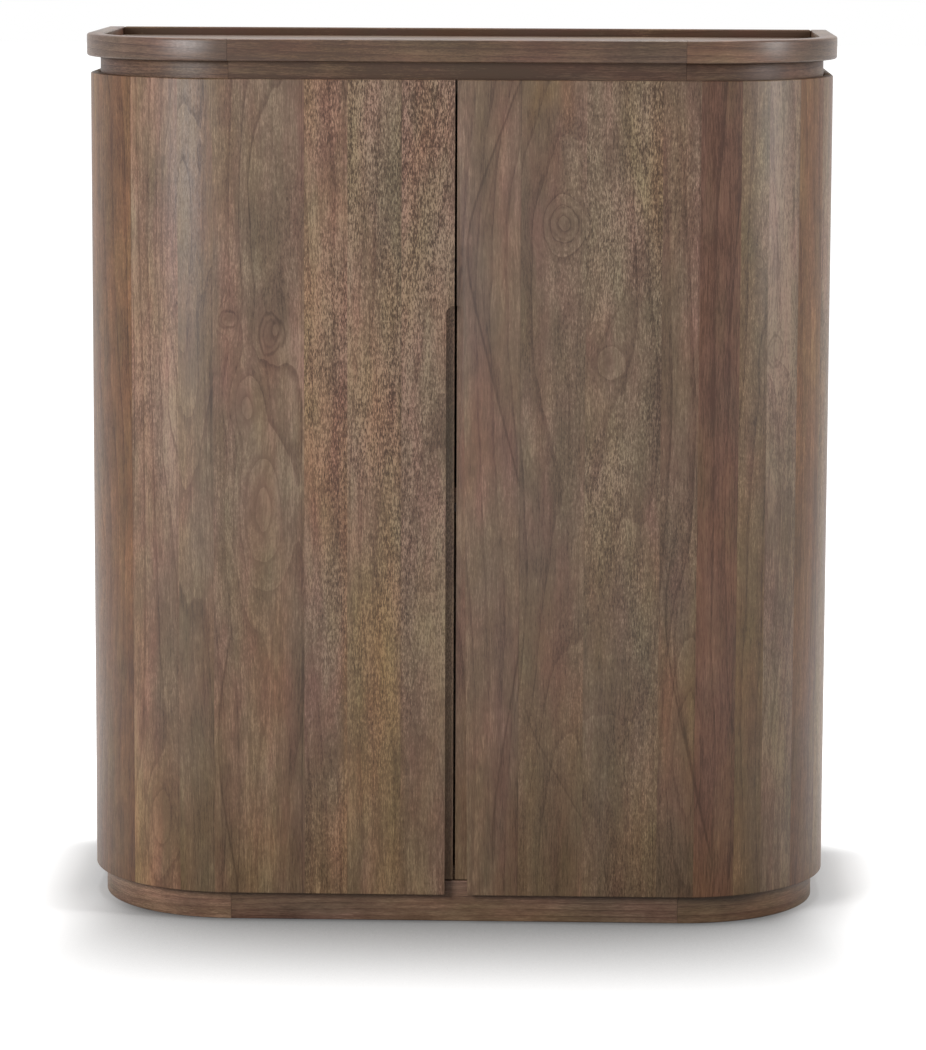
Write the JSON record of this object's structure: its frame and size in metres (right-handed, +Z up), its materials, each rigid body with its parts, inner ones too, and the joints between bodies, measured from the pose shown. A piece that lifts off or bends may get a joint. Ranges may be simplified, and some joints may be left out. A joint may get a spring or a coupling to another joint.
{
  "type": "bar cabinet",
  "caption": "Solid wood bar cabinet with rounded front corners, curved doors with a routed finger pull, a tray top, a bottle rack and stemware rails.",
  "frame": {"origin": "on the floor, under the middle of the cabinet's width and depth", "axes": "+Z up, +X to the right of the front as seen from the front, +Y from the front to the back"},
  "size_m": [1, 0.44, 1.165],
  "materials": {
    "outer_wood": "satin",
    "band_wood": "satin",
    "inner_wood": "satin",
    "nickel_steel": "satin",
    "brown_plastic": "matte"
  },
  "bodies": {
    "carcass": {"back_panel": "inner_wood", "bottom_board": "inner_wood", "divider": "inner_wood", "glass_rail_1": "inner_wood", "glass_rail_2": "inner_wood", "glass_rail_3": "inner_wood", "glass_rail_4": "inner_wood", "inner_shelf_cleat": "inner_wood", "left_hinge_side_cup_1": "nickel_steel", "left_hinge_side_cup_2": "nickel_steel", "left_hinge_side_cup_3": "nickel_steel", "left_neck_corner_block": "band_wood", "left_neck_side_rail": "band_wood", "left_plinth_corner_block": "band_wood", "left_plinth_side_rail": "band_wood", "left_rim_corner_block": "outer_wood", "left_rim_side_rail": "outer_wood", "left_side_panel": "outer_wood", "lower_shelf": "inner_wood", "magnetic_catch": "brown_plastic", "middle_shelf": "inner_wood", "neck_back_rail": "band_wood", "neck_front_rail": "band_wood", "outer_shelf_cleat": "inner_wood", "plinth_back_rail": "band_wood", "plinth_front_rail": "band_wood", "rack_back_rail_1": "inner_wood", "rack_back_rail_2": "inner_wood", "rack_front_rail_1": "inner_wood", "rack_front_rail_2": "inner_wood", "right_hinge_side_cup_1": "nickel_steel", "right_hinge_side_cup_2": "nickel_steel", "right_hinge_side_cup_3": "nickel_steel", "right_neck_corner_block": "band_wood", "right_neck_side_rail": "band_wood", "right_plinth_corner_block": "band_wood", "right_plinth_side_rail": "band_wood", "right_rim_corner_block": "outer_wood", "right_rim_side_rail": "outer_wood", "right_side_panel": "outer_wood", "rim_back_rail": "outer_wood", "rim_front_rail": "outer_wood", "tray_floor": "outer_wood"},
    "left_door": {"left_door": "outer_wood", "left_hinge_door_cup_1": "nickel_steel", "left_hinge_door_cup_2": "nickel_steel", "left_hinge_door_cup_3": "nickel_steel", "left_strike_plate": "nickel_steel"},
    "left_hinge_links": {"left_hinge_link_1": "nickel_steel", "left_hinge_link_2": "nickel_steel", "left_hinge_link_3": "nickel_steel"},
    "right_door": {"right_door": "outer_wood", "right_hinge_door_cup_1": "nickel_steel", "right_hinge_door_cup_2": "nickel_steel", "right_hinge_door_cup_3": "nickel_steel", "right_strike_plate": "nickel_steel"},
    "right_hinge_links": {"right_hinge_link_1": "nickel_steel", "right_hinge_link_2": "nickel_steel", "right_hinge_link_3": "nickel_steel"}
  },
  "joints": [
    {"name": "left_door_hinge", "type": "hinge", "parent": "carcass", "child": "left_door", "pos_m": [-0.495, -0.013, 0.5756], "axis": [0, 0, -1], "range_deg": [0, 105]},
    {"name": "left_link_turn", "type": "hinge", "parent": "carcass", "child": "left_hinge_links", "pos_m": [-0.495, -0.013, 0.5756], "axis": [0, 0, -1], "range_deg": [0, 52.5]},
    {"name": "right_door_hinge", "type": "hinge", "parent": "carcass", "child": "right_door", "pos_m": [0.495, -0.013, 0.5756], "axis": [0, 0, 1], "range_deg": [0, 105]},
    {"name": "right_link_turn", "type": "hinge", "parent": "carcass", "child": "right_hinge_links", "pos_m": [0.495, -0.013, 0.5756], "axis": [0, 0, 1], "range_deg": [0, 52.5]}
  ],
  "couplings": [
    {"joint": "left_link_turn", "follows": "left_door_hinge", "ratio": 0.5},
    {"joint": "right_link_turn", "follows": "right_door_hinge", "ratio": 0.5}
  ]
}
